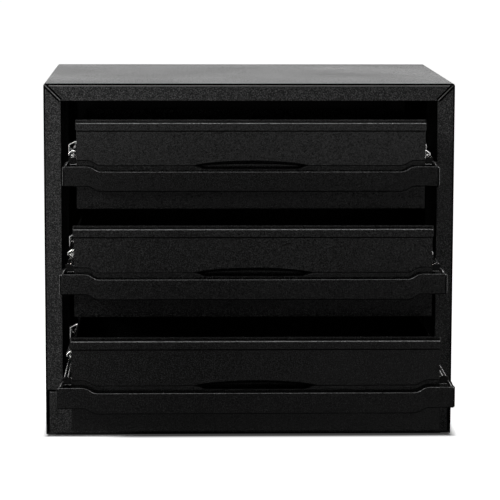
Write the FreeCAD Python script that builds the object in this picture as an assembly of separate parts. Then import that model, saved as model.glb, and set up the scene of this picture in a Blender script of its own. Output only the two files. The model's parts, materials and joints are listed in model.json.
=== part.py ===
import FreeCAD, Part
import math
import os

# Desktop cabinet of folded sheet steel with three shallow drawers on telescopic slides, in
# millimetres: X to the right, Y to the back, Z up. It stands with its drawers drawn out, and the
# origin lies on the floor under the middle of that length.

# Case
case_width = 395.0
case_depth = 300.0
case_height = 344.0
case_sheet = 1.2
case_bend_radius = 2.2
front_flange = 16.5
rear_flange = 14.0
seam_spacing = 2.2
seam_width = 0.5
seam_depth = 0.7
bead_height = 0.2

# Bottom pan
apron_height = 43.0
apron_inset = 3.5
apron_return = 9.0
stile_gap = 1.2
pan_flange = 12.0

# Back panel and its screws
back_sheet = 1.0
back_clearance = 1.0
back_screw_rows = 3

# Foot strips
foot_height = 2.0
foot_width = 18.0
foot_inset = 9.0

# Uprights that carry the slides
upright_sheet = 1.2
upright_depth = 20.3
upright_width = 30.0
upright_foot = 9.0
upright_front_inset = 56.0
upright_rear_inset = 12.0
upright_end_gap = 1.5

# Drawers
drawer_sheet = 1.0
drawer_pitch = 90.7
first_drawer_height = 48.7
front_height = 80.7
rim_band_height = 7.0
rim_band_step = 0.8
rim_overhang = 1.0
rim_depth = 6.0
rim_rise = 2.8
rim_groove_depth = 4.0
rim_seam_height = 0.7
rim_seam_depth = 0.5
tray_length = 276.0
tray_height = 72.2
tray_hem = 6.0
tray_bend = 1.0
openings = {"top": 65.5, "middle": 141.0, "bottom": 215.0}

# Finger scoop pressed into each drawer front, and how far its outline draws in at each depth
scoop_half_width = 63.6
scoop_half_height = 9.0
scoop_height = 36.5
scoop_depths = (0.0, 1.5, 12.0)
scoop_draws = (0.0, 2.4, 4.5)
scoop_window_margin = 4.5

# Handle strip
handle_overhang = 13.0
handle_reach = 10.5
handle_sheet = 1.0
handle_bend = 1.5
handle_face = 17.7
handle_underside = 17.8
handle_rise = 4.9
handle_end_flat = 22.3
handle_slope = 14.6
handle_lean = 30.0
flange_rise = 4.7
recess_top_half_width = 55.0
recess_half_width = 42.0
recess_depth = 3.1

# Handle rivets
rivet_radius = 1.5
rivet_head_radius = 2.8
rivet_head_height = 1.0
rivet_scoop_gap = 16.4
rivet_edge_gap = 34.0

# Slides: height of their centre line above the drawer's lower edge, and their three members
slide_height = 44.8
slide_thickness = 12.0
slide_sheet = 1.0
outer_web_half = 5.8
outer_half = 9.2
outer_slope_end = 6.2
outer_flat_end = 8.0
outer_lip_end = 9.2
outer_lip_drop = 0.8
outer_front_inset = 50.0
outer_rear_inset = 5.0
middle_web_at = 2.6
middle_web_half = 3.2
middle_half = 6.1
middle_slope_end = 6.2
middle_flat_end = 8.2
middle_lip_end = 9.4
middle_lip_drop = 0.8
middle_front_inset = 23.0
middle_length = 240.0
inner_half = 3.2
inner_lip_at = 5.6
inner_length = 245.0

# Screws
screw_radius = 1.5
screw_head_radius = 3.0
screw_head_height = 1.2
screw_length = 6.0
small_screw_radius = 1.1
small_screw_head_radius = 1.7
small_screw_head_height = 0.8
small_screw_length = 4.0
inner_screw_places = (40.0, 220.0)
screw_clearance = 0.1
fastener_sides = 6

# Length that every cutting tool reaches past the metal it cuts
overrun = 5.0

# Places that follow from these sizes
half_width = case_width / 2
side_face = half_width - case_sheet
reach = openings["bottom"]
overall_length = reach + case_depth + screw_head_height
case_front = reach - overall_length / 2
case_back = case_front + case_depth
back_panel_face = case_back - case_sheet - back_sheet
slide_face = side_face - upright_depth
half_front = slide_face - slide_thickness
handle_half = half_front + handle_overhang
rivet_places = (scoop_half_width + rivet_scoop_gap, half_front - rivet_edge_gap)
pan_top = foot_height + case_sheet
stile_bottom = foot_height + apron_height + stile_gap
outer_front = case_front + outer_front_inset
outer_length = case_depth - outer_front_inset - outer_rear_inset
front_upright_front = case_front + upright_front_inset
rear_upright_front = back_panel_face - upright_rear_inset - upright_width
sides = {"left": -1, "right": 1}


def point(x, y, z):
    return FreeCAD.Vector(x, y, z)


def block(x0, x1, y0, y1, z0, z1):
    return Part.makeBox(x1 - x0, y1 - y0, z1 - z0, point(x0, y0, z0))


def fuse(shapes):
    return shapes[0].multiFuse(shapes[1:]).removeSplitter()


def prism(face, sweep):
    solid = face.extrude(sweep)
    if solid.Volume < 0:
        solid.reverse()
    return solid


# Head or shank of a fastener, with a few flat sides around its axis
def rod(seat, direction, radius, length):
    turns = [2 * math.pi * index / fastener_sides for index in range(fastener_sides)]
    corners = [point(radius * math.cos(turn), radius * math.sin(turn), 0) for turn in turns]
    bar = prism(Part.Face(Part.makePolygon(corners + corners[:1])), point(0, 0, length))
    bar.Placement = FreeCAD.Placement(seat, FreeCAD.Rotation(point(0, 0, 1), direction))
    return bar


# Sheet folded along a line of points: its thickness lies to the left, and its folds are round
# unless their radius is zero
def folded_face(line, thickness, inside_radius, place):
    headings = []
    for (a0, b0), (a1, b1) in zip(line, line[1:]):
        run = math.hypot(a1 - a0, b1 - b0)
        headings.append(((a1 - a0) / run, (b1 - b0) / run))
    near = []
    far = []
    for index, (a, b) in enumerate(line):
        back = headings[max(index - 1, 0)]
        ahead = headings[min(index, len(headings) - 1)]
        lean = 1 + back[0] * ahead[0] + back[1] * ahead[1]
        shift = (-(back[1] + ahead[1]) * thickness / lean, (back[0] + ahead[0]) * thickness / lean)
        turn = math.atan2(back[0] * ahead[1] - back[1] * ahead[0],
                          back[0] * ahead[0] + back[1] * ahead[1])
        wide = inside_radius + thickness if inside_radius else 0
        radius_near, radius_far = (wide, inside_radius) if turn > 0 else (inside_radius, wide)
        near.append(((a, b), back, ahead, turn, radius_near))
        far.append(((a + shift[0], b + shift[1]), back, ahead, turn, radius_far))
    edges, first, last = rounded_run(near, place)
    far_edges, far_first, far_last = rounded_run(far, place)
    ends = [Part.makeLine(first, far_first), Part.makeLine(last, far_last)]
    return Part.Face(Part.Wire(Part.__sortEdges__(edges + far_edges + ends)))


# One side of a folded sheet: straight runs joined by arcs
def rounded_run(corners, place):
    edges = []
    previous = None
    for (a, b), back, ahead, turn, radius in corners:
        plain = abs(turn) < 1e-9 or not radius
        if plain:
            start = end = place(a, b)
        else:
            cut = radius * math.tan(abs(turn) / 2)
            before = (a - back[0] * cut, b - back[1] * cut)
            after = (a + ahead[0] * cut, b + ahead[1] * cut)
            left = math.copysign(radius, turn)
            centre = (before[0] - back[1] * left, before[1] + back[0] * left)
            run = math.hypot(a - centre[0], b - centre[1])
            middle = (centre[0] + (a - centre[0]) * radius / run,
                      centre[1] + (b - centre[1]) * radius / run)
            start = place(*before)
            end = place(*after)
            arc = Part.Arc(start, place(*middle), end).toShape()
        if previous is None:
            first = start
        else:
            edges.append(Part.makeLine(previous, start))
        if not plain:
            edges.append(arc)
        previous = end
    return edges, first, previous


# S of two equal arcs that leaves its start and reaches its end level
def s_curve(start, end):
    rise = end.z - start.z
    level = point(end.x - start.x, end.y - start.y, 0)
    run = level.Length
    radius = (run ** 2 + rise ** 2) / (4 * abs(rise))
    half_turn = math.atan(abs(rise) / run)
    step = level * (radius * math.sin(half_turn) / run)
    step.z = math.copysign(radius * (1 - math.cos(half_turn)), rise)
    middle = (start + end) / 2
    return [Part.Arc(start, start + step, middle).toShape(),
            Part.Arc(middle, end - step, end).toShape()]


# Top and sides in one sheet, turned in all round the front and the back; all its bends are round
# but the rear ones
def case_wrapper():
    low = foot_height
    outer = block(-half_width, half_width, case_front, case_back, low, case_height)
    bends = [edge for edge in outer.Edges
             if edge.BoundBox.ZMax > low + case_bend_radius
             and edge.BoundBox.YMin < case_back - case_bend_radius]
    outer = outer.makeFillet(case_bend_radius, bends)
    inner = block(-side_face, side_face, case_front + case_sheet, case_back - case_sheet,
                  low - overrun, case_height - case_sheet)
    side_bends = [edge for edge in inner.Edges
                  if edge.BoundBox.ZMin > low and edge.BoundBox.XLength < case_sheet]
    inner = inner.makeFillet(case_bend_radius - case_sheet, side_bends)
    front_half = half_width - front_flange
    rear_half = half_width - rear_flange
    front_hole = block(-front_half, front_half, case_front - overrun, case_front + overrun,
                       low - overrun, case_height - front_flange)
    below_stiles = block(-side_face, side_face, case_front - overrun, case_front + overrun,
                         low - overrun, stile_bottom)
    rear_hole = block(-rear_half, rear_half, case_back - overrun, case_back + overrun,
                      low - overrun, case_height - rear_flange)
    shell = outer.cut(inner).cut(front_hole).cut(below_stiles).cut(rear_hole)
    grooves = [seam(side, offset) for side in sides.values() for offset in (-1, 1)]
    beads = [seam_bead(side) for side in sides.values()]
    shell = shell.cut(grooves)
    holes = [screw_hole(place, point(0, 1, 0)) for place in back_screw_places()]
    return fuse([shell] + beads).cut(holes)


# Narrow bar that lies along the mitred corner of the front flange
def mitre_bar(side, width, y0, y1, offset):
    length = (front_flange - case_bend_radius) * math.sqrt(2)
    bar = block(offset - width / 2, offset + width / 2, y0, y1, -length, 0)
    bar.rotate(point(0, 0, 0), point(0, 1, 0), side * 45)
    bar.translate(point(side * (half_width - case_bend_radius), 0, case_height - case_bend_radius))
    return bar


def seam(side, offset):
    return mitre_bar(side, seam_width, case_front - overrun, case_front + seam_depth,
                     offset * seam_spacing / 2)


def seam_bead(side):
    return mitre_bar(side, seam_spacing - seam_width, case_front - bead_height,
                     case_front + case_sheet, 0)


# Floor of the case, with the tall apron across its front and low flanges at its other edges
def bottom_pan():
    apron_half = half_width - apron_inset
    apron_top = foot_height + apron_height
    rear = back_panel_face
    floor = block(-side_face, side_face, case_front + case_bend_radius, rear, foot_height, pan_top)
    profile = [(case_front + apron_return, apron_top), (case_front, apron_top),
               (case_front, foot_height), (case_front + 2 * apron_return, foot_height)]
    apron = prism(folded_face(profile, case_sheet, case_bend_radius - case_sheet,
                              lambda y, z: point(-apron_half, y, z)),
                  point(2 * apron_half, 0, 0))
    flanges = [block(-side_face, side_face, rear - case_sheet, rear, foot_height,
                     foot_height + pan_flange)]
    for side in sides.values():
        low, high = sorted((side * side_face, side * (side_face - case_sheet)))
        flanges.append(block(low, high, case_front + apron_return, rear, foot_height,
                             foot_height + pan_flange))
    return fuse([floor, apron] + flanges)


def back_panel():
    half = side_face - back_clearance
    panel = block(-half, half, back_panel_face, back_panel_face + back_sheet,
                  foot_height, case_height - case_sheet - back_clearance)
    holes = [screw_hole(place, point(0, 1, 0)) for place in back_screw_places()]
    return panel.cut(holes)


# Screw seats on the rear flanges: rows up each side and one at the middle of the top
def back_screw_places():
    across = half_width - rear_flange / 2
    low = foot_height + pan_flange + rear_flange
    high = case_height - rear_flange / 2 - rear_flange
    step = (high - low) / (back_screw_rows - 1)
    places = [point(side * across, case_back, low + row * step)
              for side in sides.values() for row in range(back_screw_rows)]
    return places + [point(0, case_back, case_height - rear_flange / 2)]


# Screw whose head sits on the seat and faces along the given direction
def screw(seat, facing, radius=screw_radius, head_radius=screw_head_radius,
          head_height=screw_head_height, length=screw_length):
    head = rod(seat, facing, head_radius, head_height)
    shank = rod(seat - facing * length, facing, radius, length)
    return fuse([head, shank])


# Hole that lets a screw's shank through the sheet under its seat
def screw_hole(seat, facing, radius=screw_radius, length=screw_length):
    return rod(seat - facing * length, facing, radius + screw_clearance, length)


def small_screw(seat, facing):
    return screw(seat, facing, small_screw_radius, small_screw_head_radius,
                 small_screw_head_height, small_screw_length)


def small_screw_hole(seat, facing):
    return screw_hole(seat, facing, small_screw_radius, small_screw_length)


def foot_strip(front):
    half = half_width - foot_inset
    return block(-half, half, front, front + foot_width, 0, foot_height)


# Hat-section upright: its feet are welded to a side, and its web carries the slides
def upright(side, front):
    foot = side_face - upright_sheet
    rear = front + upright_width
    line = [(foot, rear + upright_foot), (foot, rear), (slide_face, rear), (slide_face, front),
            (foot, front), (foot, front - upright_foot)]
    low = foot_height + pan_flange + upright_end_gap
    high = case_height - case_sheet - upright_end_gap
    section = folded_face(line, upright_sheet, 0, lambda x, y: point(side * x, y, low))
    solid = prism(section, point(0, 0, high - low))
    holes = [screw_hole(place, facing) for place, facing in case_screw_seats() if place.x * side > 0]
    return solid.cut(holes)


# Screw seats in the outer members, each with the direction that the head faces
def case_screw_seats():
    seats = []
    for name in openings:
        height = drawer_height(name) + slide_height
        for side in sides.values():
            for front in (front_upright_front, rear_upright_front):
                x = side * (slide_face - slide_sheet)
                seats.append((point(x, front + upright_width / 2, height), point(-side, 0, 0)))
    return seats


def case_screws():
    return Part.makeCompound([screw(place, facing) for place, facing in case_screw_seats()])


def back_screws():
    return Part.makeCompound([screw(place, point(0, 1, 0)) for place in back_screw_places()])


# Height of a drawer's lower edge, and the place of its front
def drawer_height(name):
    order = ["bottom", "middle", "top"]
    return first_drawer_height + order.index(name) * drawer_pitch


def drawer_front_place(name):
    return case_front + handle_reach - openings[name]


# Slide member: its section is across (from the case) and up (from the centre line)
def slide_member(line, name, side, front, length):
    height = drawer_height(name) + slide_height
    section = folded_face(line, slide_sheet, 0,
                          lambda across, up: point(side * (slide_face - across), front, height + up))
    return prism(section, point(0, length, 0))


def flared_channel(web_at, web_half, half, slope_end, flat_end, lip_end, lip_drop):
    upper = [(web_at, web_half), (slope_end, half), (flat_end, half), (lip_end, half - lip_drop)]
    return [(across, -up) for across, up in reversed(upper)] + upper


def outer_member(name, side):
    line = flared_channel(0, outer_web_half, outer_half, outer_slope_end, outer_flat_end,
                          outer_lip_end, outer_lip_drop)
    member = slide_member(line[::-1], name, side, outer_front, outer_length)
    holes = [screw_hole(place, facing) for place, facing in case_screw_seats()]
    return member.cut(holes)


def middle_member(name, side):
    line = flared_channel(middle_web_at, middle_web_half, middle_half, middle_slope_end,
                          middle_flat_end, middle_lip_end, middle_lip_drop)
    front = case_front + middle_front_inset - openings[name] / 2
    return slide_member(line[::-1], name, side, front, middle_length)


def inner_member(name, side):
    line = [(inner_lip_at, inner_half), (slide_thickness, inner_half),
            (slide_thickness, -inner_half), (inner_lip_at, -inner_half)]
    front = drawer_front_place(name) + drawer_sheet
    member = slide_member(line[::-1], name, side, front, inner_length)
    return member.cut([small_screw_hole(seat, facing) for seat, facing in inner_screw_seats(name)])


def inner_screw_seats(name):
    height = drawer_height(name) + slide_height
    front = drawer_front_place(name) + drawer_sheet
    return [(point(side * (half_front + slide_sheet), front + place, height), point(side, 0, 0))
            for side in sides.values() for place in inner_screw_places]


def drawer_screws(name):
    return Part.makeCompound([small_screw(seat, facing) for seat, facing in inner_screw_seats(name)])


# Tray: floor and sides folded from one sheet, front and back walls between them, and hems along
# the upper edges of sides and back
def drawer_tray(name):
    low = drawer_height(name) + drawer_sheet
    high = drawer_height(name) + tray_height
    front = drawer_front_place(name) + drawer_sheet
    back = front + tray_length
    inside = half_front - drawer_sheet
    hem_inside = inside - drawer_sheet
    hem_low = high - tray_hem
    inner_front = front + drawer_sheet
    inner_back = back - drawer_sheet
    line = [(-half_front, high), (-half_front, low), (half_front, low), (half_front, high)]
    section = folded_face(line, drawer_sheet, tray_bend, lambda x, z: point(x, front, z))
    floor_and_sides = prism(section, point(0, tray_length, 0))
    walls = [block(-inside, inside, front, inner_front, low + drawer_sheet, high),
             block(-inside, inside, inner_back, back, low + drawer_sheet, high)]
    hems = [block(-inside, -hem_inside, inner_front, inner_back, hem_low, high),
            block(hem_inside, inside, inner_front, inner_back, hem_low, high),
            block(-inside, inside, inner_back - drawer_sheet, inner_back, hem_low, high)]
    holes = [small_screw_hole(seat, facing) for seat, facing in inner_screw_seats(name)]
    holes += rivets(name, screw_clearance)
    return fuse([floor_and_sides] + walls + hems).cut([scoop_window(name)] + holes)


# Window in the tray's front wall that the scoop passes through
def scoop_window(name):
    front = drawer_front_place(name) + drawer_sheet
    middle = drawer_height(name) + scoop_height
    half = scoop_half_width + scoop_window_margin
    rise = scoop_half_height + scoop_window_margin
    return block(-half, half, front - overrun, front + overrun, middle - rise, middle + rise)


# Body that fills the scoop, or with the sheet's thickness as growth, its outside
def scoop_body(name, growth):
    front = drawer_front_place(name) + growth
    height = drawer_height(name) + scoop_height
    rings = []
    for depth, draw in zip(scoop_depths, scoop_draws):
        half = scoop_half_width + growth - draw
        rise = scoop_half_height + growth - draw
        ring = Part.Wire(Part.Ellipse(point(0, 0, 0), half, rise).toShape())
        ring.rotate(point(0, 0, 0), point(1, 0, 0), 90)
        ring.translate(point(0, front + depth, height))
        rings.append(ring)
    return Part.makeLoft(rings, True, True)


# Drawer front: sheet, pressed scoop, and a grooved rim along its upper edge, with a shallow seam
# under the rim's band
def drawer_front(name):
    front = drawer_front_place(name)
    low = drawer_height(name)
    high = low + front_height
    sheet = block(-half_front, half_front, front, front + drawer_sheet, low, high)
    bulge = scoop_body(name, drawer_sheet)
    rim_half = half_front + rim_overhang
    groove_floor = high - rim_groove_depth
    rim_back = front + rim_depth
    band = rim_band(rim_half, front, high)
    floor = block(-half_front, half_front, front, rim_back, groove_floor - drawer_sheet, groove_floor)
    wall = block(-half_front, half_front, rim_back - drawer_sheet, rim_back,
                 groove_floor - drawer_sheet, high + rim_rise)
    ends = [rim_end(side, front, groove_floor, high, rim_back) for side in sides.values()]
    panel = fuse([sheet, bulge, band, floor, wall] + ends)
    seam_top = high - rim_band_height
    seam_line = block(-rim_half, rim_half, front - overrun, front + rim_seam_depth,
                      seam_top - rim_seam_height, seam_top)
    return panel.cut([scoop_body(name, 0), seam_line] + rivets(name, screw_clearance))


# Band folded over the front of the rim, its lower corners cut off
def rim_band(rim_half, front, high):
    low = high - rim_band_height
    outline = [(-rim_half, high), (rim_half, high), (rim_half, low + rim_overhang),
               (rim_half - rim_overhang, low), (rim_overhang - rim_half, low),
               (-rim_half, low + rim_overhang)]
    corners = [point(x, front - rim_band_step, z) for x, z in outline]
    face = Part.Face(Part.makePolygon(corners + corners[:1]))
    return prism(face, point(0, rim_band_step, 0))


# End of the rim's groove, rising to its higher back wall
def rim_end(side, front, groove_floor, high, rim_back):
    x = side * half_front
    outline = [(front - rim_band_step, groove_floor - drawer_sheet), (front - rim_band_step, high),
               (front + drawer_sheet, high), (rim_back - drawer_sheet, high + rim_rise),
               (rim_back, high + rim_rise), (rim_back, groove_floor - drawer_sheet)]
    corners = [point(x, y, z) for y, z in outline]
    face = Part.Face(Part.makePolygon(corners + corners[:1]))
    return prism(face, point(side * rim_overhang, 0, 0))


# Edges of a line across the drawer, low in the middle and rising by an S at each end
def dipped_line(half, height, y):
    near_end = handle_half - handle_end_flat
    far_mid = near_end - handle_slope
    high = height + handle_rise
    edges = []
    for side in sides.values():
        edges += s_curve(point(side * far_mid, y, height), point(side * near_end, y, high))
        edges.append(Part.makeLine(point(side * near_end, y, high), point(side * half, y, high)))
    edges.append(Part.makeLine(point(-far_mid, y, height), point(far_mid, y, height)))
    return edges


# Wall across the drawer between two dipped lines, of the given depth
def dipped_wall(half, low, high, y0, y1):
    edges = dipped_line(half, low, y0) + dipped_line(half, high, y0)
    for side in sides.values():
        edges.append(Part.makeLine(point(side * half, y0, low + handle_rise),
                                   point(side * half, y0, high + handle_rise)))
    face = Part.Face(Part.Wire(Part.__sortEdges__(edges)))
    return prism(face, point(0, y1 - y0, 0))


# Handle: face and end legs in one bent strip, a floor, and a flange that lies on the drawer front
def drawer_handle(name):
    front = drawer_front_place(name)
    low = drawer_height(name) + handle_underside
    top = low + handle_face
    flange_top = top + flange_rise
    lean = math.radians(handle_lean)
    corner = handle_half + (handle_bend + handle_sheet) * (math.tan((math.pi / 2 + lean) / 2) - 1)
    leg_end = corner - handle_reach * math.tan(lean)
    tall = flange_top + handle_rise - low
    line = [(-leg_end, front), (-corner, front - handle_reach), (corner, front - handle_reach),
            (leg_end, front)]
    strip = prism(folded_face(line, handle_sheet, handle_bend, lambda x, y: point(x, y, low)),
                  point(0, 0, tall))
    outline = dipped_wall(handle_half, low, flange_top, front - handle_reach, front)
    strip = strip.common(outline).cut(above_face(name, top))
    face_back = front - handle_reach + handle_sheet
    floor = dipped_wall(half_front, low, low + handle_sheet, face_back, front)
    flange = dipped_wall(half_front, low, flange_top, front - handle_sheet, front)
    flange = flange.cut(finger_recess(front, flange_top))
    return fuse([strip, floor, flange]).cut(rivets(name, screw_clearance))


# What is cut off above the handle's face, and above each leg, whose edge rises to the flange
def above_face(name, top):
    front = drawer_front_place(name)
    half = handle_half + overrun
    face_front = front - handle_reach
    leg_front = face_front + handle_sheet + handle_bend
    over_face = dipped_wall(half, top, top + 2 * flange_rise, face_front - overrun, leg_front)
    low = point(0, leg_front, top + handle_rise)
    high = point(0, front, top + handle_rise + flange_rise)
    roof = high.z + flange_rise
    corners = [high, point(0, front + overrun, high.z), point(0, front + overrun, roof),
               point(0, leg_front, roof), low]
    edges = s_curve(low, high) + [Part.makeLine(a, b) for a, b in zip(corners, corners[1:])]
    face = Part.Face(Part.Wire(Part.__sortEdges__(edges)))
    face.translate(point(-half, 0, 0))
    over_legs = prism(face, point(2 * half, 0, 0))
    return fuse([over_face, over_legs])


# Dip in the flange's upper edge where the fingers reach the scoop
def finger_recess(front, flange_top):
    low = flange_top - recess_depth
    edges = []
    for side in sides.values():
        top_corner = point(side * recess_top_half_width, front, flange_top)
        edges += s_curve(point(side * recess_half_width, front, low), top_corner)
        edges.append(Part.makeLine(top_corner, top_corner + point(0, 0, overrun)))
    edges.append(Part.makeLine(point(-recess_half_width, front, low),
                               point(recess_half_width, front, low)))
    edges.append(Part.makeLine(point(-recess_top_half_width, front, flange_top + overrun),
                               point(recess_top_half_width, front, flange_top + overrun)))
    face = Part.Face(Part.Wire(Part.__sortEdges__(edges)))
    face.translate(point(0, overrun, 0))
    return prism(face, point(0, -2 * overrun, 0))


# Rivets through handle flange, drawer front and tray, with a head at each end
def rivets(name, clearance=0):
    front = drawer_front_place(name)
    height = drawer_height(name) + handle_underside + handle_face / 2
    grip = handle_sheet + 2 * drawer_sheet
    shapes = []
    for side in sides.values():
        for place in rivet_places:
            seat = point(side * place, front - handle_sheet, height)
            shank = rod(seat, point(0, 1, 0), rivet_radius + clearance, grip)
            if clearance:
                shapes.append(shank)
                continue
            near_head = rod(seat, point(0, -1, 0), rivet_head_radius, rivet_head_height)
            far_seat = seat + point(0, grip, 0)
            far_head = rod(far_seat, point(0, 1, 0), rivet_head_radius, rivet_head_height)
            shapes.append(fuse([near_head, shank, far_head]))
    return shapes


def drawer_rivets(name):
    return Part.makeCompound(rivets(name))


def case_parts():
    parts = {"case_wrapper": case_wrapper(), "bottom_pan": bottom_pan(), "back_panel": back_panel(),
             "back_panel_screws": back_screws(), "case_slide_screws": case_screws(),
             "front_foot_strip": foot_strip(case_front + foot_inset),
             "rear_foot_strip": foot_strip(case_back - foot_inset - foot_width)}
    for word, side in sides.items():
        parts[f"{word}_front_upright"] = upright(side, front_upright_front)
        parts[f"{word}_rear_upright"] = upright(side, rear_upright_front)
    return parts


def drawer_parts(name):
    parts = {f"{name}_drawer_tray": drawer_tray(name), f"{name}_drawer_front": drawer_front(name),
             f"{name}_drawer_handle": drawer_handle(name),
             f"{name}_drawer_rivets": drawer_rivets(name),
             f"{name}_drawer_slide_screws": drawer_screws(name)}
    for word, side in sides.items():
        parts[f"{name}_{word}_slide_outer"] = outer_member(name, side)
        parts[f"{name}_{word}_slide_middle"] = middle_member(name, side)
        parts[f"{name}_{word}_slide_inner"] = inner_member(name, side)
    return parts


def main():
    os.makedirs("parts", exist_ok=True)
    parts = case_parts()
    for name in openings:
        parts.update(drawer_parts(name))
    for node, shape in parts.items():
        print(f"{node}: {len(shape.Solids)} solids, {shape.Volume:.1f} mm3, valid {shape.isValid()}")
        shape.exportStep(f"parts/{node}.step")


main()
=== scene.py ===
import json
import math

import bmesh
import bpy
from mathutils import Matrix, Quaternion, Vector


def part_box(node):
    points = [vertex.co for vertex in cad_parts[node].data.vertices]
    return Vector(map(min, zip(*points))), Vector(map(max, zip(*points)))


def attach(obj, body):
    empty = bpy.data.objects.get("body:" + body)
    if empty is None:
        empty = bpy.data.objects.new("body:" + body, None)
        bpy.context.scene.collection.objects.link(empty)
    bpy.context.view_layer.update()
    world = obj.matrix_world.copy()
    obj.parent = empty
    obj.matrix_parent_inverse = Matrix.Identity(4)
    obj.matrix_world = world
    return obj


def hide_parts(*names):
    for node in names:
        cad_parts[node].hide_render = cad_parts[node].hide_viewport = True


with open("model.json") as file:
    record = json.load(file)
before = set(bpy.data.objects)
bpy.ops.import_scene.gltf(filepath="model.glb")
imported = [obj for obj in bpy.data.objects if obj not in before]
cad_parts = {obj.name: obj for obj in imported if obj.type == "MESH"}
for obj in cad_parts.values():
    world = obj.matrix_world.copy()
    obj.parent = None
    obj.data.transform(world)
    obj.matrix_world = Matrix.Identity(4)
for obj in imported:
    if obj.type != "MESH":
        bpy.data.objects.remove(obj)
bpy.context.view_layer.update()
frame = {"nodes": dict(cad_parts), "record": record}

# Camera: straight in front of the cabinet, a little to the left and well above it
CAMERA_PLACE = (-0.0715, -2.4231, 0.510)
CAMERA_AIM = (0.0007, -0.0431, 0.1831)
AIM_WIDTH = 0.4834
CAMERA_ROLL = 0.0025
SENSOR_WIDTH = 36.0
CAMERA_CLIP = (0.05, 100.0)

# Level of the plain light round the object
AMBIENT = 0.05

# What the object mirrors: white behind it, dim at both sides, and in front a floor that brightens
# with distance, away from the middle and towards the left, under a wall that darkens with height
BACK_LEVEL = 1.2
SIDE_LEVEL = 0.04
WALL_LEVEL = 1.4
SOFTBOX_LEVEL = 4.5
NEAR_LEVEL = 0.15
FAR_LEVEL = 1.2
NEAR_FLOOR = -1.2
RISE_AWAY = 0.17
RISE_ASIDE = 0.6
MIRROR_MIDDLE = -0.05
MIRROR_SPREAD = 0.35
MIRROR_LEFT = -0.16
RISE_LEFT = 2.0

# Spans over which those levels change: in the upward part (Z) or the depth part (Y) of a mirrored
# direction, and on the floor in metres
WALL_SPAN = (0.0, 0.25)
WALL_DIM = 0.05
FRONT_SPAN = (-0.9, -0.7)
BACK_SPAN = (-0.1, 0.3)
BACK_TOP_SPAN = (0.22, 0.34)
SOFTBOX_FOOT_SPAN = (0.30, 0.38)
SOFTBOX_TOP_SPAN = (0.78, 0.9)
SOFTBOX_SIDE_SPAN = (-0.35, -0.2)
MIRROR_EDGE_SPAN = (0.12, 0.22)
FLOOR_BACK_SPAN = (0.3, 0.9)

# Floor: its level for bounced light and for the camera, its size, and the shadow round the case
FLOOR_BOUNCE = 0.2
FLOOR_WHITE = 0.9
FLOOR_SIZE = 40.0
SHADOW_REACH = 0.009
SHADOW_LEVEL = 0.05

# Painted shade: the share of gloss taken away in shaded boxes on the drawers, and the boxes' margin
PAINTED_SHADE_SHARE = 0.4
SHADE_BOX_MARGIN = 0.005

DRAWERS = ("top", "middle", "bottom")
SIDES = {"left": -1, "right": 1}

# Slides: the face that carries them, the middle of their ball tracks, and the balls in each row
SLIDE_FACE = 0.176
TRACK_ACROSS = 0.0072
BALL_COUNT = 9
BALL_PITCH = 0.0065

# Rows of balls: distance from the slide's centre line and radius of the balls, and their inset
OUTER_ROW = (0.00715, 0.00102)
INNER_ROW = (0.00415, 0.00092)
ROW_INSET = 0.002

# Strips that hold the balls: the first ball's place and the length to spare, in pitches, and the
# strip's width and thickness, in radii of the balls
FIRST_BALL = 0.7
CAGE_SPARE = 0.4
CAGE_WIDTH_SHARE = 1.7
CAGE_THICKNESS_SHARE = 0.5

# Screws: heights of the heads, their profile in shares of radius and height, the cross sunk in
# them, and the taper at the tip
CASE_HEAD = 0.0012
DRAWER_HEAD = 0.0008
HEAD_SHARES = ((0.04, 0.0), (0.12, 0.0), (0.2, 0.0), (0.3, 0.0), (0.42, 0.01), (0.55, 0.04), (0.7, 0.1),
               (0.85, 0.26), (0.95, 0.5), (1.0, 0.78), (1.0, 1.0))
CROSS_SHARE = 0.5
CROSS_DEPTH_SHARE = 0.6
CROSS_SLIMNESS = 5
TIP_LENGTH = 0.0003
TIP_SHARE = 0.6

# Rivets: height of the domes, their profile in shares of radius and height, and radius of the core
RIVET_DOME = 0.001
DOME_SHARES = ((0.02, 0.0), (0.3, 0.04), (0.55, 0.15), (0.75, 0.34), (0.9, 0.6), (0.98, 0.85), (1.0, 1.0))
RIVET_CORE = 0.0015

# Stops and retainers of the slides: depth, corner radius, and how far they stand past the members
STOP_DEPTH = 0.004
STOP_CORNER = 0.0008
STOP_GAP = 0.0001
STOP_OUT = 0.0012
STOP_AHEAD = 0.0006
STOP_LIFT = 0.0004
RETAINER_DEPTH = 0.006
RETAINER_CORNER = 0.0006
RETAINER_REACH = 0.0068
RETAINER_OUT = 0.0003
RETAINER_AHEAD = 0.0005

# Rails along an inner member: the outer one's inset and radius, the inner one's reach and radius,
# and the inset of both at the front and the back
OUTER_RAIL = (0.0004, 0.00035)
INNER_RAIL = (0.0030, 0.0005)
RAIL_SIDES = 10
RAIL_FRONT = 0.004
RAIL_BACK = 0.002

# Case: its sheet, front flange width, sealant and beads of its mitres, painted shade and highlight of its
# folds
CASE_SHEET = 0.0012
FRONT_FLANGE = 0.0165
MITRE_HALF = 0.0014
MITRE_SEAM = 0.0008
MITRE_START = 0.0024
MITRE_END = 0.0003
TOP_FOLD_SHADE = 0.0009
SIDE_FOLD_SHADE = 0.0011
SIDE_FOLD_FOOT = 0.012
FOLD_END = 0.002
BEAD_RADIUS = 0.0005
FOLD_HIGHLIGHT_DROP = 0.0023
MITRE_BEAD_SUNK = 0.0002
FOLD_HIGHLIGHT_SUNK = 0.0003

# Painted shade inside the case, in black: the share of the sheet's thickness where it starts, how
# far it reaches below the case, and its colour
INNER_SHADE_SHARE = 0.9
INNER_SHADE_DROP = 0.01
INNER_SHADE_BLACK = 0.001
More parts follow.
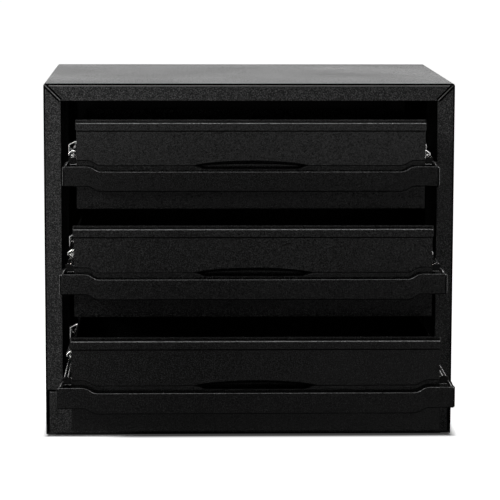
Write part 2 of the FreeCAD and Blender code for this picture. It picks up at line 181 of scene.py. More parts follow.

# Handle strip, and the rolls along the upper edges of handles and rims, which carry painted highlights
HANDLE_FACE = 0.0177
HANDLE_RISE = 0.0049
HANDLE_END_FLAT = 0.0223
HANDLE_SLOPE = 0.0146
FLANGE_RISE = 0.0047
RIM_RISE = 0.0028
ROLL_RADIUS = 0.0008
ROLL_PROUD = 0.0003
ROLL_INSET = 0.0012
ROLL_STEPS = 60
LEG_RUN = 0.0085
LEG_DRAW = 0.0049
LEG_STEPS = 12
LEG_ROLL_SHARE = 0.8
RIM_ROLL_SHARE = 0.9
RIM_ROLL_END = 0.0008

# Painted shade lines in black on the drawers: radius, sides and steps of each, how far the flange's
# stands out and the handle's is set back, in shares of the radius, the drop below a handle, the ends
# of the rim's line and the band above it, and the flange's dip above the scoop
SHADE_LINE_RADIUS = 0.00055
SEAM_AND_SHADE_SIDES = 8
SHADE_LINE_STEPS = 80
FLANGE_SHADE_SHARE = 0.6
HANDLE_SHADE_SHARE = 1.2
SHADE_LINE_DROP = 0.0002
RIM_SHADE_END = 0.0015
RIM_BAND = 0.007
RECESS = 0.0031
RECESS_HALF = 0.042
RECESS_SLOPE = 0.013

# Painted shade in the groove of a rim, a black rod: its radius and sides, its middle behind and below
# the edges of the rim, and how far it and the flange's shade line end from the sides of the drawer front
GROOVE_SHADE_RADIUS = 0.0019
GROOVE_SHADE_SIDES = 16
GROOVE_SHADE_BACK = 0.0038
GROOVE_SHADE_DROP = 0.0009
SHADE_LINE_END = 0.0012

# Coats: name, colour, roughness, grain per metre, relief, fleck, gloss, and radius of its folds
COATS = {
    "case_black": ("case_powder_coat", 0.009, 0.30, 880.0, 0.00001, 0.115, 0.14, 0.0008),
    "drawer_black": ("drawer_powder_coat", 0.0005, 0.17, 950.0, 0.00002, 0.04, 0.20, 0.0001),
    "handle_black": ("handle_powder_coat", 0.0005, 0.15, 950.0, 0.00001, 0.035, 0.18, 0.0002),
    "inner_steel": ("inner_paint", 0.002, 0.55, 900.0, 0.00003, 0.001, 0.06, 0.0008),
    "black_screw": ("black_oxide", 0.010, 0.35, 2500.0, 0.00001, 0.01, 0.4, 0.0003),
    # seam: black for painted shade lines on drawers and case folds, mitre sealant and slide retainers
    "seam": ("black_sealant", 0.0004, 0.7, 900.0, 0.00001, 0.0004, 0.02, 0.0001),
    # fold: painted highlight on the rolled edges, lighter and glossier than the coats
    "fold": ("folded_edge_coat", 0.04, 0.20, 800.0, 0.000005, 0.03, 1.0, 0.0001),
    # bead: lighter coat of the mitre beads, and the painted highlight under the top fold
    "bead": ("bead_coat", 0.12, 0.35, 800.0, 0.000005, 0.04, 0.3, 0.0001)}

# Lamps: name, place, aim, size and power
LAMPS = (
    ("overhead", (-0.1, -0.3, 1.7), (-0.1, -0.2, 0.2), (1.4, 0.9), 6.0),
    ("key", (-0.6, -0.55, 0.66), (-0.15, 0.0, 0.3), (0.3, 0.3), 5.0),
    ("right", (1.2, -1.2, 0.6), (0.1, 0.0, 0.2), (0.5, 0.6), 0.4))


class Nodes:
    """Builds one node tree, with the inputs of each new node given by name."""

    def __init__(self, tree):
        self.tree = tree
        tree.nodes.clear()

    def add(self, kind, settings=None, **inputs):
        node = self.tree.nodes.new(kind)
        for name, value in (settings or {}).items():
            setattr(node, name, value)
        for name, value in inputs.items():
            self.set(node.inputs[name.replace("_", " ")], value)
        return node

    def set(self, socket, value):
        if isinstance(value, bpy.types.NodeSocket):
            self.tree.links.new(value, socket)
        else:
            socket.default_value = value

    def mix(self, factor, low, high):
        node = self.add("ShaderNodeMix", {"data_type": "RGBA"})
        self.set(node.inputs[0], factor)
        self.set(node.inputs[6], low)
        self.set(node.inputs[7], high)
        return node.outputs[2]

    def math(self, operation, first, second=0.0):
        node = self.add("ShaderNodeMath", {"operation": operation})
        self.set(node.inputs[0], first)
        self.set(node.inputs[1], second)
        return node.outputs[0]

    def ramp(self, value, low, high, to_low, to_high):
        node = self.add("ShaderNodeMapRange", Value=value)
        for name, number in (("From Min", low), ("From Max", high), ("To Min", to_low), ("To Max", to_high)):
            node.inputs[name].default_value = number
        return node.outputs[0]

    def noise(self, vector, scale, detail=2.0, roughness=0.5):
        return self.add("ShaderNodeTexNoise", Vector=vector, Scale=scale, Detail=detail,
                        Roughness=roughness).outputs[0]

    def stretch(self, vector, scale):
        return self.add("ShaderNodeMapping", Vector=vector, Scale=scale).outputs[0]


def new_material(name):
    material = bpy.data.materials.new(name)
    material.use_nodes = True
    return material, Nodes(material.node_tree)


def rgb(value, tint=(1.0, 1.0, 1.0)):
    return (value * tint[0], value * tint[1], value * tint[2], 1.0)


# How far a place lies inside a box, given by its two corners
def depth_inside(nodes, place, box):
    axes = nodes.add("ShaderNodeSeparateXYZ", Vector=place)
    low, high = box
    depth = None
    for axis, start, end in zip("XYZ", low, high):
        away = nodes.math("ABSOLUTE", nodes.math("SUBTRACT", axes.outputs[axis], (start + end) / 2))
        here = nodes.math("SUBTRACT", (end - start) / 2, away)
        depth = here if depth is None else nodes.math("MINIMUM", depth, here)
    return depth


# Powder coat: pebbled skin with tiny lighter flecks and spotted gloss, and soft folds that catch
# the light; painted shade makes it plain black inside the given box and less glossy in the shade boxes
def powder_coat(name, colour, roughness, grain, relief, fleck, gloss, edge, inner_shade, shade_boxes):
    material, nodes = new_material(name)
    place = nodes.add("ShaderNodeTexCoord").outputs["Object"]
    skin = nodes.noise(place, grain, 3.0, 0.6)
    flecks = nodes.ramp(nodes.noise(place, grain * 1.3, 2.0, 0.6), 0.5, 0.72, 0.0, 1.0)
    cloud = nodes.noise(place, 9.0, 3.0)
    spotted_gloss_and_shade = nodes.ramp(nodes.noise(place, grain * 1.7, 1.0, 0.5), 0.35, 0.65, 0.0, gloss * 2.0)
    # Painted shade: the spotted gloss is cut inside each shade box
    for box in shade_boxes:
        inside = nodes.math("GREATER_THAN", depth_inside(nodes, place, box), 0.0)
        kept = nodes.math("SUBTRACT", 1.0, nodes.math("MULTIPLY", inside, PAINTED_SHADE_SHARE))
        spotted_gloss_and_shade = nodes.math("MULTIPLY", spotted_gloss_and_shade, kept)
    base = nodes.mix(flecks, rgb(colour), rgb(colour + fleck))
    # Painted shade: plain black inside the case, where shade falls
    if inner_shade:
        inside = nodes.math("GREATER_THAN", depth_inside(nodes, place, inner_shade), 0.0)
        base = nodes.mix(inside, base, rgb(INNER_SHADE_BLACK))
    shade = nodes.ramp(cloud, 0.3, 0.7, roughness - 0.03, roughness + 0.03)
    fold = nodes.add("ShaderNodeBevel", {"samples": 6}, Radius=edge).outputs[0]
    bump = nodes.add("ShaderNodeBump", Strength=1.0, Distance=relief, Height=skin, Normal=fold)
    shader = nodes.add("ShaderNodeBsdfPrincipled", Base_Color=base, Roughness=shade,
                       Normal=bump.outputs[0])
    nodes.set(shader.inputs["Specular IOR Level"], spotted_gloss_and_shade)
    out = nodes.add("ShaderNodeOutputMaterial")
    nodes.tree.links.new(shader.outputs[0], out.inputs[0])
    return material


# Zinc plate: drawn lines along the slide, and faint clouds in its passivation
def zinc_plate(name):
    material, nodes = new_material(name)
    place = nodes.add("ShaderNodeTexCoord").outputs["Object"]
    lines = nodes.noise(nodes.stretch(place, (900.0, 12.0, 900.0)), 1.0, 3.0, 0.6)
    cloud = nodes.noise(place, 60.0, 3.0, 0.6)
    base = nodes.mix(cloud, rgb(0.72, (1.0, 1.0, 1.01)), rgb(0.86, (1.0, 0.99, 0.97)))
    shade = nodes.ramp(cloud, 0.3, 0.7, 0.10, 0.18)
    fold = nodes.add("ShaderNodeBevel", {"samples": 4}, Radius=0.0006).outputs[0]
    bump = nodes.add("ShaderNodeBump", Strength=0.6, Distance=0.00004, Height=lines, Normal=fold)
    shader = nodes.add("ShaderNodeBsdfPrincipled", Base_Color=base, Roughness=shade,
                       Normal=bump.outputs[0])
    shader.inputs["Metallic"].default_value = 1.0
    out = nodes.add("ShaderNodeOutputMaterial")
    nodes.tree.links.new(shader.outputs[0], out.inputs[0])
    return material


# Rubber of the foot strips: matt, with a fine dusty grain
def rubber(name):
    material, nodes = new_material(name)
    place = nodes.add("ShaderNodeTexCoord").outputs["Object"]
    grain = nodes.noise(place, 1400.0, 2.0)
    base = nodes.mix(grain, rgb(0.012), rgb(0.03))
    bump = nodes.add("ShaderNodeBump", Strength=0.5, Distance=0.0001, Height=grain)
    shader = nodes.add("ShaderNodeBsdfPrincipled", Base_Color=base, Normal=bump.outputs[0])
    shader.inputs["Roughness"].default_value = 0.85
    out = nodes.add("ShaderNodeOutputMaterial")
    nodes.tree.links.new(shader.outputs[0], out.inputs[0])
    return material


# Box with a margin all round
def grown(low, high):
    margin = Vector((SHADE_BOX_MARGIN, SHADE_BOX_MARGIN, SHADE_BOX_MARGIN))
    return low - margin, high + margin


# The part of a drawer front below the upper edge of its handle's face, which takes painted shade
def shaded_lower_panel(name):
    low, high = grown(*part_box(f"{name}_drawer_front"))
    high.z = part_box(f"{name}_drawer_handle")[0].z + HANDLE_FACE
    return low, high


def dress_nodes():
    low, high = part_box("case_wrapper")
    shell = Vector((CASE_SHEET, CASE_SHEET, CASE_SHEET)) * INNER_SHADE_SHARE
    hollow = (low + shell - Vector((0.0, 0.0, INNER_SHADE_DROP)), high - shell)
    inner_shade_boxes = {"case_black": hollow}
    # Painted shade under the handles of the top and middle drawers, and on the top drawer's handle
    painted_shade_boxes = {"drawer_black": [shaded_lower_panel("top"), shaded_lower_panel("middle")],
              "handle_black": [grown(*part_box("top_drawer_handle"))]}
    finishes = {finish: powder_coat(*coat, inner_shade_boxes.get(finish), painted_shade_boxes.get(finish, []))
                for finish, coat in COATS.items()}
    finishes["zinc"] = zinc_plate("zinc_plate")
    finishes["rubber"] = rubber("foot_rubber")
    for part in frame["record"]["subparts"]:
        node = frame["nodes"][part["node"]]
        node.data.materials.clear()
        node.data.materials.append(finishes[part["material_slot"]])
    return finishes


def new_piece(name, mesh_maker, material, body):
    mesh = bpy.data.meshes.new(name)
    bm = bmesh.new()
    mesh_maker(bm)
    bmesh.ops.recalc_face_normals(bm, faces=bm.faces)
    for face in bm.faces:
        face.smooth = True
    bm.to_mesh(mesh)
    bm.free()
    piece = bpy.data.objects.new(name, mesh)
    bpy.context.scene.collection.objects.link(piece)
    mesh.materials.append(material)
    mesh.set_sharp_from_angle(angle=math.radians(40))
    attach(piece, body)
    return piece


# Each fastener of a node, in order of place: its larger head's top, the way it faces, and its sizes
def fastener_places(node, axis):
    bm = bmesh.new()
    bm.from_mesh(frame["nodes"][node].data)
    bmesh.ops.remove_doubles(bm, verts=bm.verts, dist=1e-6)
    left = set(bm.verts)
    places = []
    while left:
        front = [left.pop()]
        island = []
        while front:
            vert = front.pop()
            island.append(vert.co.copy())
            for edge in vert.link_edges:
                other = edge.other_vert(vert)
                if other in left:
                    left.discard(other)
                    front.append(other)
        places.append(fastener_place(island, axis))
    bm.free()
    return sorted(places, key=lambda place: tuple(place[0]))


def fastener_place(points, axis):
    low = Vector([min(p[i] for p in points) for i in range(3)])
    high = Vector([max(p[i] for p in points) for i in range(3)])
    middle = (low + high) / 2

    def reach(end):
        offsets = [p - middle for p in points if abs(p[axis] - end) < 1e-5]
        for offset in offsets:
            offset[axis] = 0.0
        return max(offset.length for offset in offsets)

    radii = (reach(low[axis]), reach(high[axis]))
    facing = Vector((0.0, 0.0, 0.0))
    facing[axis] = 1.0 if radii[1] >= radii[0] else -1.0
    top = middle.copy()
    top[axis] = high[axis] if facing[axis] > 0 else low[axis]
    return top, facing, max(radii), min(radii), high[axis] - low[axis]


# Turned body; its profile is a list of (radius, height above its top), and a cross may be sunk in it
def turn(bm, place, facing, profile, cross=0.0, depth=0.0, segments=32):
    spin = facing.to_track_quat("Z", "Y").to_matrix()
    rings = []
    for radius, height in profile:
        ring = []
        for index in range(segments):
            angle = 2 * math.pi * index / segments
            x, y = radius * math.cos(angle), radius * math.sin(angle)
            sunk = depth if radius < cross and min(abs(x), abs(y)) < cross / CROSS_SLIMNESS else 0.0
            ring.append(bm.verts.new(place + spin @ Vector((x, y, height - sunk))))
        rings.append(ring)
    for low, high in zip(rings, rings[1:]):
        for index in range(segments):
            after = (index + 1) % segments
            bm.faces.new((low[index], low[after], high[after], high[index]))
    bm.faces.new(rings[0])
    bm.faces.new(rings[-1])


# Pan-head screws with a cross recess in place of the plain ones
def screw_set(name, node, axis, head_height, material, body):
    places = fastener_places(node, axis)

    def make(bm):
        for top, facing, head, shank, length in places:
            profile = [(head * share, -head_height * drop) for share, drop in HEAD_SHARES]
            turn(bm, top, facing, profile, head * CROSS_SHARE, head_height * CROSS_DEPTH_SHARE)
            turn(bm, top, facing, [(shank, -head_height), (shank, TIP_LENGTH - length),
                                   (shank * TIP_SHARE, -length)])
    piece = new_piece(name, make, material, body)
    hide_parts(node)


# Rivets with a low dome at each end
def rivet_set(name, node, material, body):
    places = fastener_places(node, 1)

    def make(bm):
        for top, facing, head, shank, length in places:
            near = [(head * share, -RIVET_DOME * drop) for share, drop in DOME_SHARES]
            far = [(radius, -length - height) for radius, height in reversed(near)]
            core = [(RIVET_CORE, -RIVET_DOME), (RIVET_CORE, RIVET_DOME - length)]
            turn(bm, top, facing, near + core + far)
    piece = new_piece(name, make, material, body)
    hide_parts(node)


def add_fasteners(finishes):
    black, zinc = finishes["black_screw"], finishes["zinc"]
    screw_set("back_panel_round_screws", "back_panel_screws", 1, CASE_HEAD, black, "cabinet")
    screw_set("case_slide_round_screws", "case_slide_screws", 0, CASE_HEAD, zinc, "cabinet")
    for name in DRAWERS:
        drawer = f"{name}_drawer"
        screw_set(f"{drawer}_slide_round_screws", f"{drawer}_slide_screws", 0, DRAWER_HEAD, zinc, drawer)
        rivet_set(f"{drawer}_round_rivets", f"{drawer}_rivets", black, drawer)


# Row of bearing balls held by a thin strip, above and below a slide's centre line
def ball_cage(name, x, y, height, gap, radius, material, body):
    def make(bm):
        for up in (-gap, gap):
            for index in range(BALL_COUNT):
                place = Matrix.Translation((x, y + BALL_PITCH * (index + FIRST_BALL), height + up))
                bmesh.ops.create_icosphere(bm, subdivisions=2, radius=radius, matrix=place)
            length = BALL_PITCH * (BALL_COUNT + CAGE_SPARE)
            size = (radius * CAGE_WIDTH_SHARE, length, radius * CAGE_THICKNESS_SHARE)
            place = Matrix.Translation((x, y + length / 2, height + up))
            bmesh.ops.create_cube(bm, size=1.0, matrix=place @ Matrix.Diagonal((*size, 1.0)))
    new_piece(name, make, material, body)


def add_ball_cages(finishes):
    for name in DRAWERS:
        for word, side in SIDES.items():
            outer_low, outer_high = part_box(f"{name}_{word}_slide_outer")
            height = (outer_low.z + outer_high.z) / 2
            x = side * (SLIDE_FACE - TRACK_ACROSS)
            ball_cage(f"{name}_{word}_outer_balls", x, outer_low.y + ROW_INSET, height, *OUTER_ROW,
                      finishes["zinc"], "cabinet")
            middle_low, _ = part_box(f"{name}_{word}_slide_middle")
            ball_cage(f"{name}_{word}_inner_balls", x, middle_low.y + ROW_INSET, height, *INNER_ROW,
                      finishes["zinc"], f"{name}_{word}_slide_middle")


# Tube along a line of points, with flat ends
def tube(bm, points, radius, segments=12):
    rings = []
    for index, middle in enumerate(points):
        before, after = points[max(index - 1, 0)], points[min(index + 1, len(points) - 1)]
        spin = (after - before).to_track_quat("Z", "Y").to_matrix()
        ring = []
        for step in range(segments):
            angle = 2 * math.pi * step / segments
            offset = Vector((radius * math.cos(angle), radius * math.sin(angle), 0.0))
            ring.append(bm.verts.new(middle + spin @ offset))
        rings.append(ring)
    for low, high in zip(rings, rings[1:]):
        for step in range(segments):
            after = (step + 1) % segments
            bm.faces.new((low[step], low[after], high[after], high[step]))
    bm.faces.new(rings[0])
    bm.faces.new(rings[-1])


# Height gained along an S of two equal arcs, at a share of its run
def s_rise(share, run, rise):
    share = min(max(share, 0.0), 1.0)
    if share > 0.5:
        return rise - s_rise(1.0 - share, run, rise)
    radius = (run * run + rise * rise) / (4 * rise)
    return radius - math.sqrt(radius * radius - (share * run) ** 2)


# How far the edges of a handle of the given half width lie above their middle, at a place along it
def handle_lift(x, half):
    share = (abs(x) - (half - HANDLE_END_FLAT - HANDLE_SLOPE)) / HANDLE_SLOPE
    return s_rise(share, HANDLE_SLOPE, HANDLE_RISE)


# Rolled upper edge of a handle: level in the middle, up an S at each end, and back along both legs
def handle_roll(name, finishes):
    low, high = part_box(f"{name}_drawer_handle")
    half = high.x
    front = low.y + ROLL_RADIUS
    top = low.z + HANDLE_FACE - ROLL_RADIUS + ROLL_PROUD
    points = []
    for step in range(-ROLL_STEPS, ROLL_STEPS + 1):
        x = (half - ROLL_INSET) * step / ROLL_STEPS
        points.append(Vector((x, front, top + handle_lift(x, half))))

    def make(bm):
        tube(bm, points, ROLL_RADIUS)
        for side in SIDES.values():
            leg = []
            for step in range(LEG_STEPS + 1):
                share = step / LEG_STEPS
                x = side * (half - ROLL_INSET - LEG_DRAW * share)
                y = front + LEG_RUN * share
                leg.append(Vector((x, y, top + HANDLE_RISE + s_rise(share, LEG_RUN, FLANGE_RISE))))
            tube(bm, leg, ROLL_RADIUS * LEG_ROLL_SHARE)

    # Painted highlight: the roll takes the lighter, glossier fold coat
    new_piece(f"{name}_handle_rolled_highlight", make, finishes["fold"], f"{name}_drawer")


# Rolled front edge of the rim's band, in the lighter, glossier coat of a painted highlight
def rim_roll(name, finishes):
    low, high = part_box(f"{name}_drawer_front")
    top = high.z - RIM_RISE

    def make(bm):
        y = low.y + ROLL_RADIUS * RIM_ROLL_SHARE
        z = top - ROLL_RADIUS + ROLL_PROUD
        ends = [Vector((low.x + RIM_ROLL_END, y, z)), Vector((high.x - RIM_ROLL_END, y, z))]
        tube(bm, ends, ROLL_RADIUS)

    new_piece(f"{name}_rim_rolled_highlight", make, finishes["fold"], f"{name}_drawer")


# Painted shade in black: lines under the rim's band, along the upper edge of the handle's flange
# and under the handle, and a rod that fills the rim's groove
def shade_lines(name, finishes):
    low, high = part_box(f"{name}_drawer_front")
    strip_low, strip_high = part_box(f"{name}_drawer_handle")
    face = strip_high.y

    def under_rim(bm):
        z = high.z - RIM_RISE - RIM_BAND - SHADE_LINE_RADIUS
        ends = [Vector((low.x + RIM_SHADE_END, face, z)), Vector((high.x - RIM_SHADE_END, face, z))]
        tube(bm, ends, SHADE_LINE_RADIUS, SEAM_AND_SHADE_SIDES)

    def over_flange(bm):
        half = strip_high.x
        points = []
        for step in range(-SHADE_LINE_STEPS, SHADE_LINE_STEPS + 1):
            x = (low.x + SHADE_LINE_END) * step / -SHADE_LINE_STEPS
            rise = handle_lift(x, half)
            dip = RECESS - s_rise((abs(x) - RECESS_HALF) / RECESS_SLOPE, RECESS_SLOPE, RECESS)
            z = strip_low.z + HANDLE_FACE + FLANGE_RISE + rise - dip + SHADE_LINE_RADIUS * FLANGE_SHADE_SHARE
            points.append(Vector((x, face - SHADE_LINE_RADIUS * FLANGE_SHADE_SHARE, z)))
        tube(bm, points, SHADE_LINE_RADIUS, SEAM_AND_SHADE_SIDES)

    def under_strip(bm):
        half = strip_high.x
        points = []
        for step in range(-SHADE_LINE_STEPS, SHADE_LINE_STEPS + 1):
            x = (half - ROLL_INSET) * step / SHADE_LINE_STEPS
            y = strip_low.y + SHADE_LINE_RADIUS * HANDLE_SHADE_SHARE
            points.append(Vector((x, y, strip_low.z - SHADE_LINE_DROP + handle_lift(x, half))))
        tube(bm, points, SHADE_LINE_RADIUS, SEAM_AND_SHADE_SIDES)

    def in_groove(bm):
        y, z = low.y + GROOVE_SHADE_BACK, high.z - RIM_RISE - GROOVE_SHADE_DROP
        ends = [Vector((low.x + SHADE_LINE_END, y, z)), Vector((high.x - SHADE_LINE_END, y, z))]
        tube(bm, ends, GROOVE_SHADE_RADIUS, GROOVE_SHADE_SIDES)

    new_piece(f"{name}_handle_shade_line", under_strip, finishes["seam"], f"{name}_drawer")
    new_piece(f"{name}_rim_groove_shade", in_groove, finishes["seam"], f"{name}_drawer")
    new_piece(f"{name}_rim_shade_line", under_rim, finishes["seam"], f"{name}_drawer")
    new_piece(f"{name}_flange_shade_line", over_flange, finishes["seam"], f"{name}_drawer")


# Joints of the case's front: black sealant in the two grooves of each mitre with a bead between
# them, and painted shade in black along the folds at the top and both sides, with a painted
# highlight under the top one
def case_joints_and_fold_shade(finishes):
    low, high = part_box("case_wrapper")
    half = high.x

    def mitre(bm, shift, radius, front):
        for side in SIDES.values():
            ends = []
            for drop in (MITRE_START, FRONT_FLANGE - MITRE_END):
                x = side * (half - drop - shift / math.sqrt(2))
                ends.append(Vector((x, front, high.z - drop + shift / math.sqrt(2))))
            tube(bm, ends, radius, SEAM_AND_SHADE_SIDES)

    def black(bm):
        for shift in (-MITRE_HALF, MITRE_HALF):
            mitre(bm, shift, MITRE_SEAM, low.y)
        y, z = low.y + TOP_FOLD_SHADE, high.z - TOP_FOLD_SHADE
        ends = [Vector((-half + FOLD_END, y, z)), Vector((half - FOLD_END, y, z))]
        tube(bm, ends, TOP_FOLD_SHADE, SEAM_AND_SHADE_SIDES)
        for side in SIDES.values():
            x, y = side * (half - SIDE_FOLD_SHADE), low.y + SIDE_FOLD_SHADE
            ends = [Vector((x, y, SIDE_FOLD_FOOT)), Vector((x, y, high.z - FOLD_END))]
            tube(bm, ends, SIDE_FOLD_SHADE, SEAM_AND_SHADE_SIDES)

    def bright(bm):
        mitre(bm, 0.0, BEAD_RADIUS, low.y + MITRE_BEAD_SUNK)
        y, z = low.y + FOLD_HIGHLIGHT_SUNK, high.z - FOLD_HIGHLIGHT_DROP
        ends = [Vector((2 * FOLD_END - half, y, z)), Vector((half - 2 * FOLD_END, y, z))]
        tube(bm, ends, BEAD_RADIUS, SEAM_AND_SHADE_SIDES)

    new_piece("case_sealant_and_fold_shade", black, finishes["seam"], "cabinet")
    new_piece("case_bead_and_fold_highlight", bright, finishes["bead"], "cabinet")


def add_rolls(finishes):
    for name in DRAWERS:
        handle_roll(name, finishes)
        rim_roll(name, finishes)
        shade_lines(name, finishes)


# Upright plate with rounded corners, between two places along Y; its outline is (x, z)
def plate(bm, x0, x1, y0, y1, z0, z1, radius):
    outline = []
    for cx, cz, start in ((x1 - radius, z1 - radius, 0.0), (x0 + radius, z1 - radius, 0.5),
                          (x0 + radius, z0 + radius, 1.0), (x1 - radius, z0 + radius, 1.5)):
        for step in range(4):
            angle = math.pi * (start + step / 6)
            outline.append((cx + radius * math.cos(angle), cz + radius * math.sin(angle)))
    near = [bm.verts.new((x, y0, z)) for x, z in outline]
    far = [bm.verts.new((x, y1, z)) for x, z in outline]
    for index in range(len(outline)):
        after = (index + 1) % len(outline)
        bm.faces.new((near[index], near[after], far[after], far[index]))
    bm.faces.new(near)
    bm.faces.new(far)


# Black stop on the front end of each inner member, black retainer in the lower part of each
# middle member, and the bright rails pressed along each inner member
def add_slide_details(finishes):
    for name in DRAWERS:
        for word, side in SIDES.items():
            low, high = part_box(f"{name}_{word}_slide_inner")
            middle_low, middle_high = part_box(f"{name}_{word}_slide_middle")
            near = min(abs(low.x), abs(high.x))
            far = max(abs(low.x), abs(high.x))
            middle_far = max(abs(middle_low.x), abs(middle_high.x))

            def stop(bm):
                x0, x1 = sorted((side * (near + STOP_GAP), side * (far + STOP_OUT)))
                plate(bm, x0, x1, low.y - STOP_AHEAD, low.y + STOP_DEPTH, low.z + STOP_LIFT, high.z,
                      STOP_CORNER)

            def retainer(bm):
                x0, x1 = sorted((side * (middle_far - RETAINER_REACH), side * (middle_far + RETAINER_OUT)))
                plate(bm, x0, x1, middle_low.y - RETAINER_AHEAD, middle_low.y + RETAINER_DEPTH,
                      middle_low.z + STOP_LIFT, middle_low.z + RETAINER_REACH, RETAINER_CORNER)

            def rails(bm):
                ends = (low.y + RAIL_FRONT, high.y - RAIL_BACK)
                for across, radius in ((far - OUTER_RAIL[0], OUTER_RAIL[1]),
                                       (near + INNER_RAIL[0], INNER_RAIL[1])):
                    tube(bm, [Vector((side * across, y, high.z)) for y in ends], radius, RAIL_SIDES)

            new_piece(f"{name}_{word}_slide_stop", stop, finishes["inner_steel"], f"{name}_drawer")
            new_piece(f"{name}_{word}_slide_retainer", retainer, finishes["seam"],
                      f"{name}_{word}_slide_middle")
            new_piece(f"{name}_{word}_slide_rails", rails, finishes["zinc"], f"{name}_drawer")


# White for the camera, and the given level for a reflection
def seen_level(nodes, level):
    path = nodes.add("ShaderNodeLightPath")
    mirrored = nodes.math("MAXIMUM", path.outputs["Is Glossy Ray"], path.outputs["Is Transmission Ray"])
    return nodes.math("MAXIMUM", path.outputs["Is Camera Ray"], nodes.math("MULTIPLY", mirrored, level))


def make_world():
    world = bpy.data.worlds.new("studio")
    bpy.context.scene.world = world
    world.use_nodes = True
    nodes = Nodes(world.node_tree)
    way = nodes.add("ShaderNodeSeparateXYZ", Vector=nodes.add("ShaderNodeTexCoord").outputs["Generated"])
    depth, up = way.outputs["Y"], way.outputs["Z"]
    wall = nodes.ramp(up, *WALL_SPAN, WALL_LEVEL, WALL_DIM)
    front = nodes.math("MULTIPLY", nodes.ramp(depth, *FRONT_SPAN, 1.0, 0.0), wall)
    back = nodes.math("MULTIPLY", nodes.ramp(depth, *BACK_SPAN, SIDE_LEVEL, BACK_LEVEL),
                      nodes.ramp(up, *BACK_TOP_SPAN, 1.0, SIDE_LEVEL))
    box = nodes.math("MULTIPLY", nodes.ramp(up, *SOFTBOX_FOOT_SPAN, 0.0, 1.0),
                     nodes.ramp(up, *SOFTBOX_TOP_SPAN, SOFTBOX_LEVEL, 0.0))
    box = nodes.math("MULTIPLY", box, nodes.ramp(depth, *SOFTBOX_SIDE_SPAN, 1.0, 0.0))
    seen = seen_level(nodes, nodes.math("MAXIMUM", nodes.math("MAXIMUM", front, back), box))
    path = nodes.add("ShaderNodeLightPath")
    ambient = nodes.math("MULTIPLY", path.outputs["Is Diffuse Ray"], AMBIENT)
    strength = nodes.math("MAXIMUM", seen, ambient)
    background = nodes.add("ShaderNodeBackground", Color=(1.0, 1.0, 1.0, 1.0), Strength=strength)
    out = nodes.add("ShaderNodeOutputWorld")
    nodes.tree.links.new(background.outputs[0], out.inputs[0])


# How far a coordinate lies outside a span
def beyond(nodes, value, low, high):
    outside = nodes.math("ABSOLUTE", nodes.math("SUBTRACT", value, (low + high) / 2))
    return nodes.math("MAXIMUM", nodes.math("SUBTRACT", outside, (high - low) / 2), 0.0)


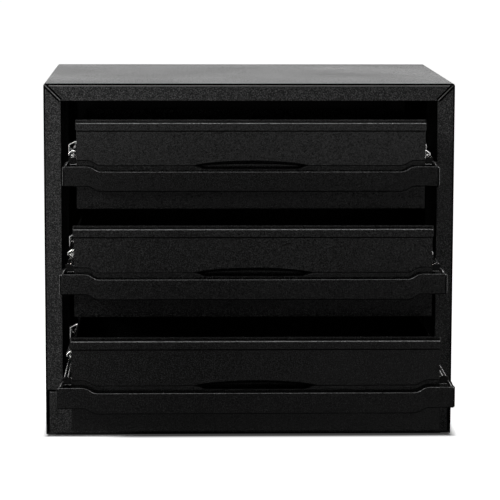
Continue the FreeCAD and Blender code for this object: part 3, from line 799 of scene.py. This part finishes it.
# Pale floor that keeps the shadow close round the case, and is plain white further out
def make_floor():
    mesh = bpy.data.meshes.new("floor")
    half = FLOOR_SIZE / 2
    mesh.from_pydata([(-half, -half, 0), (half, -half, 0), (half, half, 0), (-half, half, 0)], [],
                     [(0, 1, 2, 3)])
    floor = bpy.data.objects.new("floor", mesh)
    bpy.context.scene.collection.objects.link(floor)
    material, nodes = new_material("floor_white")
    place = nodes.add("ShaderNodeSeparateXYZ", Vector=nodes.add("ShaderNodeTexCoord").outputs["Object"])
    low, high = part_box("bottom_pan")
    beside = beyond(nodes, place.outputs["X"], low.x, high.x)
    along = beyond(nodes, place.outputs["Y"], low.y, high.y)
    distance = nodes.math("SQRT", nodes.math("ADD", nodes.math("MULTIPLY", beside, beside),
                                             nodes.math("MULTIPLY", along, along)))
    away = nodes.ramp(distance, 0.0, SHADOW_REACH, SHADOW_LEVEL, 1.0)
    aside = nodes.math("ABSOLUTE", nodes.math("SUBTRACT", place.outputs["X"], MIRROR_MIDDLE))
    ahead = nodes.math("MAXIMUM", nodes.math("SUBTRACT", NEAR_FLOOR, place.outputs["Y"]), 0.0)
    left = nodes.math("MAXIMUM", nodes.math("SUBTRACT", MIRROR_LEFT, place.outputs["X"]), 0.0)
    front = nodes.math("MULTIPLY", aside, RISE_ASIDE)
    front = nodes.math("ADD", front, nodes.math("MULTIPLY", left, RISE_LEFT))
    front = nodes.math("ADD", front, nodes.math("MULTIPLY", ahead, RISE_AWAY))
    front = nodes.math("MINIMUM", nodes.math("ADD", front, NEAR_LEVEL), FAR_LEVEL)
    spread = nodes.math("MULTIPLY", nodes.math("MINIMUM", place.outputs["Y"], 0.0), -MIRROR_SPREAD)
    past = nodes.math("SUBTRACT", nodes.math("ABSOLUTE", place.outputs["X"]), spread)
    front = nodes.math("MULTIPLY", front, nodes.ramp(past, *MIRROR_EDGE_SPAN, 1.0, SIDE_LEVEL))
    back = nodes.ramp(place.outputs["Y"], *FLOOR_BACK_SPAN, 0.0, BACK_LEVEL)
    glow = nodes.math("MULTIPLY", seen_level(nodes, nodes.math("MAXIMUM", front, back)), away)
    emission = nodes.add("ShaderNodeEmission", Color=(1.0, 1.0, 1.0, 1.0), Strength=glow)
    camera_ray = nodes.add("ShaderNodeLightPath").outputs["Is Camera Ray"]
    paint = nodes.mix(camera_ray, rgb(FLOOR_BOUNCE), rgb(FLOOR_WHITE))
    diffuse = nodes.add("ShaderNodeBsdfDiffuse", Color=paint)
    both = nodes.add("ShaderNodeAddShader")
    nodes.tree.links.new(emission.outputs[0], both.inputs[0])
    nodes.tree.links.new(diffuse.outputs[0], both.inputs[1])
    out = nodes.add("ShaderNodeOutputMaterial")
    nodes.tree.links.new(both.outputs[0], out.inputs[0])
    mesh.materials.append(material)


def area_lamp(name, place, aim, size, power):
    data = bpy.data.lights.new(name, "AREA")
    data.shape = "RECTANGLE"
    data.size, data.size_y = size
    data.energy = power
    lamp = bpy.data.objects.new(name, data)
    lamp.location = place
    lamp.rotation_mode = "QUATERNION"
    lamp.rotation_quaternion = (Vector(aim) - Vector(place)).to_track_quat("-Z", "Y")
    bpy.context.scene.collection.objects.link(lamp)


def make_lamps():
    for lamp in LAMPS:
        area_lamp(*lamp)


def make_camera():
    place, aim = Vector(CAMERA_PLACE), Vector(CAMERA_AIM)
    data = bpy.data.cameras.new("camera")
    data.sensor_width = SENSOR_WIDTH
    data.lens = data.sensor_width * (aim - place).length / AIM_WIDTH
    data.clip_start, data.clip_end = CAMERA_CLIP
    camera = bpy.data.objects.new("camera", data)
    camera.location = place
    camera.rotation_mode = "QUATERNION"
    roll = Quaternion((0.0, 0.0, 1.0), CAMERA_ROLL)
    camera.rotation_quaternion = (aim - place).to_track_quat("-Z", "Y") @ roll
    bpy.context.scene.collection.objects.link(camera)
    bpy.context.scene.camera = camera


finishes = dress_nodes()
add_fasteners(finishes)
add_ball_cages(finishes)
add_rolls(finishes)
add_slide_details(finishes)
case_joints_and_fold_shade(finishes)
make_world()
make_floor()
make_lamps()
make_camera()
bpy.context.scene.view_settings.view_transform = "Standard"
